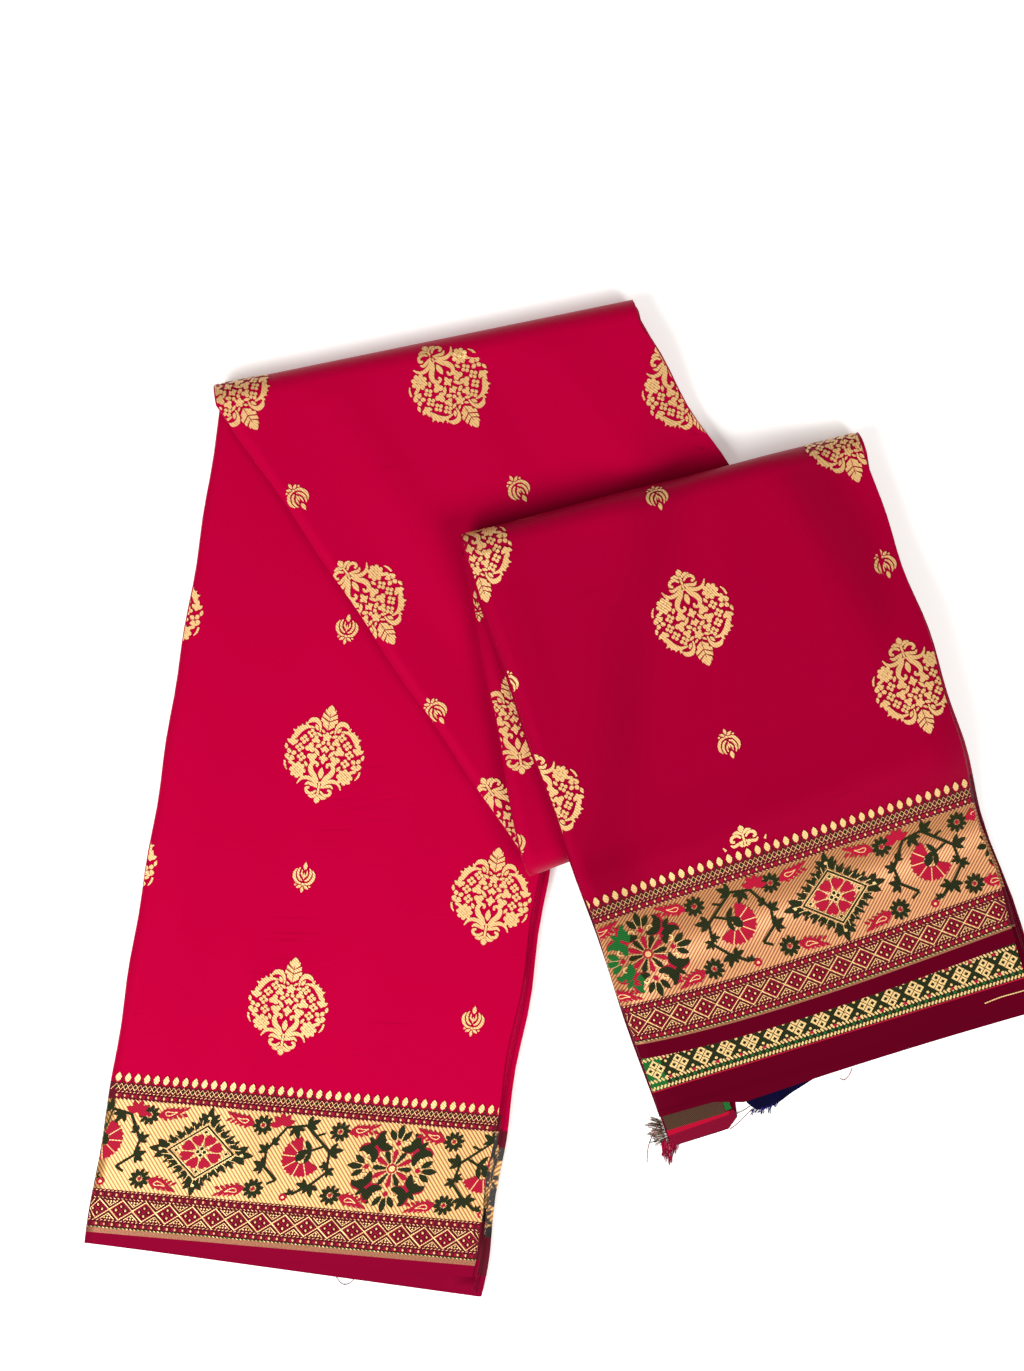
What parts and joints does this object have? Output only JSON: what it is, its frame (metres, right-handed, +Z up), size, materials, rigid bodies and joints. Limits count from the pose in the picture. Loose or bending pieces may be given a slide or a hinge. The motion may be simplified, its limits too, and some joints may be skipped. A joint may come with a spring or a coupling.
{
  "type": "folded silk sari",
  "caption": "Folded silk sari: one long brocade cloth pleated back and forth into a band that is turned over three times and lies flat, with a frayed end.",
  "frame": {"origin": "middle of the box's underside, on the surface that the folded cloth lies on", "axes": "+X right and +Y away as the picture shows the cloth from above, +Z up"},
  "size_m": [0.4622, 0.4774, 0.0468],
  "materials": {
    "crimson_silk": "satin silk with woven metallic thread",
    "warp_yarn": "loose yarn",
    "navy_cloth": "matt"
  },
  "bodies": {
    "root": {"sari_cloth": "crimson_silk", "frayed_ends": "warp_yarn", "blue_end": "navy_cloth"}
  },
  "joints": []
}
